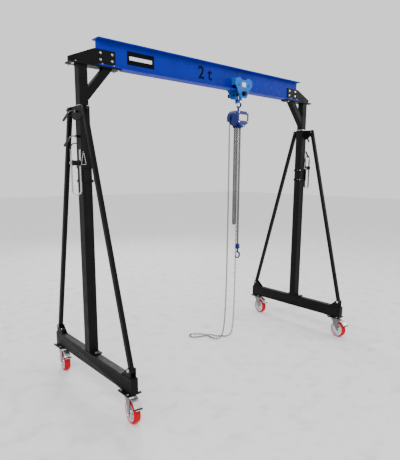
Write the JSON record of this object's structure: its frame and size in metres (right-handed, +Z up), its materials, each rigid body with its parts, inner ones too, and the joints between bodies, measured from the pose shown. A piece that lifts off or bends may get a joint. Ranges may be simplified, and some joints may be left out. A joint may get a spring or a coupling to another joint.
{
  "type": "portable gantry crane",
  "caption": "Portable gantry crane: a lifting beam on two height-adjustable A-frame legs with swivel casters, carrying a push trolley and a hand chain hoist.",
  "frame": {"origin": "on the floor, in the middle of the footprint", "axes": "+X along the lifting beam towards the right leg, +Y across it away from the side with the gear cover, +Z up"},
  "size_m": [3.0302, 1.4, 2.7903],
  "materials": {
    "black_paint": "satin black powder coat over welded steel tube and plate",
    "beam_blue": "gloss royal blue paint",
    "trolley_blue": "gloss sky blue paint",
    "hoist_blue": "dark blue enamel",
    "zinc": "bright zinc plating",
    "dark_steel": "black oxide steel, lightly oiled",
    "tyre": "red polyurethane tread on an aluminium hub"
  },
  "bodies": {
    "left_leg": {"left_base_beam": "black_paint", "left_outer_column": "black_paint", "left_front_brace": "black_paint", "left_back_brace": "black_paint", "left_winch_clamp": "black_paint", "left_winch_frame": "zinc", "left_front_caster_plate": "zinc", "left_back_caster_plate": "zinc"},
    "right_leg": {"right_base_beam": "black_paint", "right_outer_column": "black_paint", "right_front_brace": "black_paint", "right_back_brace": "black_paint", "right_winch_clamp": "black_paint", "right_winch_frame": "zinc", "right_front_caster_plate": "zinc", "right_back_caster_plate": "zinc"},
    "lifting_beam": {"lifting_beam": "beam_blue", "left_inner_column": "black_paint", "right_inner_column": "black_paint", "left_head_bracket": "black_paint", "right_head_bracket": "black_paint"},
    "left_winch_drum": {"left_winch_drum": "dark_steel"},
    "left_winch_ring": {"left_winch_ring": "zinc"},
    "left_upper_lock_screw": {"left_upper_lock_screw": "zinc"},
    "left_lower_lock_screw": {"left_lower_lock_screw": "zinc"},
    "left_front_caster_fork": {"left_front_caster_fork": "zinc"},
    "left_front_wheel": {"left_front_wheel": "tyre"},
    "left_front_brake_pedal": {"left_front_brake_pedal": "zinc"},
    "left_back_caster_fork": {"left_back_caster_fork": "zinc"},
    "left_back_wheel": {"left_back_wheel": "tyre"},
    "left_back_brake_pedal": {"left_back_brake_pedal": "zinc"},
    "right_winch_drum": {"right_winch_drum": "dark_steel"},
    "right_winch_ring": {"right_winch_ring": "zinc"},
    "right_upper_lock_screw": {"right_upper_lock_screw": "zinc"},
    "right_lower_lock_screw": {"right_lower_lock_screw": "zinc"},
    "right_front_caster_fork": {"right_front_caster_fork": "zinc"},
    "right_front_wheel": {"right_front_wheel": "tyre"},
    "right_front_brake_pedal": {"right_front_brake_pedal": "zinc"},
    "right_back_caster_fork": {"right_back_caster_fork": "zinc"},
    "right_back_wheel": {"right_back_wheel": "tyre"},
    "right_back_brake_pedal": {"right_back_brake_pedal": "zinc"},
    "trolley": {"trolley_front_plate": "trolley_blue", "trolley_back_plate": "trolley_blue", "trolley_shaft": "dark_steel"},
    "trolley_wheel_front_left": {"trolley_wheel_front_left": "dark_steel"},
    "trolley_wheel_front_right": {"trolley_wheel_front_right": "dark_steel"},
    "trolley_wheel_back_left": {"trolley_wheel_back_left": "dark_steel"},
    "trolley_wheel_back_right": {"trolley_wheel_back_right": "dark_steel"},
    "hanger": {"hanger": "trolley_blue"},
    "hoist": {"top_hook": "hoist_blue", "hoist_frame": "hoist_blue", "gear_cover": "hoist_blue", "hand_wheel_cover": "hoist_blue", "load_chain": "dark_steel", "slack_chain": "dark_steel", "hand_chain": "zinc"},
    "hand_wheel": {"hand_wheel": "dark_steel"},
    "hook_block": {"hook_block": "hoist_blue"},
    "load_hook": {"load_hook": "hoist_blue"},
    "hook_latch": {"hook_latch": "zinc"}
  },
  "joints": [
    {"name": "beam_lift", "type": "slide", "parent": "left_leg", "child": "lifting_beam", "axis": [0, 0, 1], "range_m": [0, 1.2]},
    {"name": "right_leg_slide", "type": "slide", "parent": "lifting_beam", "child": "right_leg", "axis": [0, 0, -1], "range_m": [0, 1.2]},
    {"name": "left_winch_spin", "type": "hinge", "parent": "left_leg", "child": "left_winch_drum", "pos_m": [-1.4395, 0.006, 1.867], "axis": [1, 0, 0], "continuous": true},
    {"name": "left_winch_ring_swing", "type": "hinge", "parent": "left_leg", "child": "left_winch_ring", "pos_m": [-1.382, -0.0075, 1.944], "axis": [0, -1, 0], "range_deg": [0, 55]},
    {"name": "left_upper_lock_screw_turn", "type": "hinge", "parent": "left_leg", "child": "left_upper_lock_screw", "pos_m": [-1.41, 0.046, 2.245], "axis": [1, 0, 0], "continuous": true},
    {"name": "left_lower_lock_screw_turn", "type": "hinge", "parent": "left_leg", "child": "left_lower_lock_screw", "pos_m": [-1.41, 0.046, 2.065], "axis": [1, 0, 0], "continuous": true},
    {"name": "left_front_swivel", "type": "hinge", "parent": "left_leg", "child": "left_front_caster_fork", "pos_m": [-1.35, -0.534, 0.19], "axis": [0, 0, 1], "continuous": true},
    {"name": "left_front_roll", "type": "hinge", "parent": "left_front_caster_fork", "child": "left_front_wheel", "pos_m": [-1.3586, -0.58832, 0.085], "axis": [0.9877, -0.1564, 0], "continuous": true},
    {"name": "left_front_brake", "type": "hinge", "parent": "left_front_caster_fork", "child": "left_front_brake_pedal", "pos_m": [-1.36033, -0.59919, 0.179], "axis": [0.9877, -0.1564, 0], "range_deg": [0, 7]},
    {"name": "left_back_swivel", "type": "hinge", "parent": "left_leg", "child": "left_back_caster_fork", "pos_m": [-1.35, 0.626, 0.19], "axis": [0, 0, 1], "continuous": true},
    {"name": "left_back_roll", "type": "hinge", "parent": "left_back_caster_fork", "child": "left_back_wheel", "pos_m": [-1.3586, 0.57168, 0.085], "axis": [0.9877, -0.1564, 0], "continuous": true},
    {"name": "left_back_brake", "type": "hinge", "parent": "left_back_caster_fork", "child": "left_back_brake_pedal", "pos_m": [-1.36033, 0.56081, 0.179], "axis": [0.9877, -0.1564, 0], "range_deg": [0, 7]},
    {"name": "right_winch_spin", "type": "hinge", "parent": "right_leg", "child": "right_winch_drum", "pos_m": [1.4395, 0.006, 1.867], "axis": [1, 0, 0], "continuous": true},
    {"name": "right_winch_ring_swing", "type": "hinge", "parent": "right_leg", "child": "right_winch_ring", "pos_m": [1.382, -0.0075, 1.944], "axis": [0, 1, 0], "range_deg": [0, 55]},
    {"name": "right_upper_lock_screw_turn", "type": "hinge", "parent": "right_leg", "child": "right_upper_lock_screw", "pos_m": [1.41, 0.046, 2.245], "axis": [1, 0, 0], "continuous": true},
    {"name": "right_lower_lock_screw_turn", "type": "hinge", "parent": "right_leg", "child": "right_lower_lock_screw", "pos_m": [1.41, 0.046, 2.065], "axis": [1, 0, 0], "continuous": true},
    {"name": "right_front_swivel", "type": "hinge", "parent": "right_leg", "child": "right_front_caster_fork", "pos_m": [1.35, -0.534, 0.19], "axis": [0, 0, 1], "continuous": true},
    {"name": "right_front_roll", "type": "hinge", "parent": "right_front_caster_fork", "child": "right_front_wheel", "pos_m": [1.3414, -0.58832, 0.085], "axis": [0.9877, -0.1564, 0], "continuous": true},
    {"name": "right_front_brake", "type": "hinge", "parent": "right_front_caster_fork", "child": "right_front_brake_pedal", "pos_m": [1.33967, -0.59919, 0.179], "axis": [0.9877, -0.1564, 0], "range_deg": [0, 7]},
    {"name": "right_back_swivel", "type": "hinge", "parent": "right_leg", "child": "right_back_caster_fork", "pos_m": [1.35, 0.626, 0.19], "axis": [0, 0, 1], "continuous": true},
    {"name": "right_back_roll", "type": "hinge", "parent": "right_back_caster_fork", "child": "right_back_wheel", "pos_m": [1.3414, 0.57168, 0.085], "axis": [0.9877, -0.1564, 0], "continuous": true},
    {"name": "right_back_brake", "type": "hinge", "parent": "right_back_caster_fork", "child": "right_back_brake_pedal", "pos_m": [1.33967, 0.56081, 0.179], "axis": [0.9877, -0.1564, 0], "range_deg": [0, 7]},
    {"name": "trolley_travel", "type": "slide", "parent": "lifting_beam", "child": "trolley", "axis": [1, 0, 0], "range_m": [-1.28, 0.65]},
    {"name": "trolley_wheel_front_left_roll", "type": "hinge", "parent": "trolley", "child": "trolley_wheel_front_left", "pos_m": [0.249, 0.007, 2.6386], "axis": [0, 1, 0], "continuous": true},
    {"name": "trolley_wheel_front_right_roll", "type": "hinge", "parent": "trolley", "child": "trolley_wheel_front_right", "pos_m": [0.381, 0.007, 2.6386], "axis": [0, 1, 0], "continuous": true},
    {"name": "trolley_wheel_back_left_roll", "type": "hinge", "parent": "trolley", "child": "trolley_wheel_back_left", "pos_m": [0.249, 0.085, 2.6386], "axis": [0, 1, 0], "continuous": true},
    {"name": "trolley_wheel_back_right_roll", "type": "hinge", "parent": "trolley", "child": "trolley_wheel_back_right", "pos_m": [0.381, 0.085, 2.6386], "axis": [0, 1, 0], "continuous": true},
    {"name": "hanger_swing", "type": "hinge", "parent": "trolley", "child": "hanger", "pos_m": [0.315, 0.046, 2.56], "axis": [0, 1, 0], "range_deg": [-15, 15]},
    {"name": "hoist_swing", "type": "hinge", "parent": "hanger", "child": "hoist", "pos_m": [0.315, 0.046, 2.49], "axis": [0, 1, 0], "range_deg": [-15, 15]},
    {"name": "hand_wheel_spin", "type": "hinge", "parent": "hoist", "child": "hand_wheel", "pos_m": [0.315, 0.102, 2.335], "axis": [0, 1, 0], "continuous": true},
    {"name": "hook_lift", "type": "slide", "parent": "hoist", "child": "hook_block", "axis": [0, 0, 1], "range_m": [-0.85, 1], "deforming": ["load_chain"]},
    {"name": "hook_swivel", "type": "hinge", "parent": "hook_block", "child": "load_hook", "pos_m": [0.345, 0.046, 1], "axis": [0, 0, 1], "continuous": true},
    {"name": "latch_hinge", "type": "hinge", "parent": "load_hook", "child": "hook_latch", "pos_m": [0.3285, 0.046, 0.9665], "axis": [0, -1, 0], "range_deg": [0, 38], "stiffness_Nm_per_rad": 0.02, "springref_deg": -28.65}
  ],
  "couplings": [
    {"joint": "right_leg_slide", "follows": "beam_lift", "ratio": 1},
    {"joint": "trolley_wheel_front_left_roll", "follows": "trolley_travel", "rad_per_m": 26.316},
    {"joint": "trolley_wheel_front_right_roll", "follows": "trolley_travel", "rad_per_m": 26.316},
    {"joint": "trolley_wheel_back_left_roll", "follows": "trolley_travel", "rad_per_m": 26.316},
    {"joint": "trolley_wheel_back_right_roll", "follows": "trolley_travel", "rad_per_m": 26.316}
  ]
}
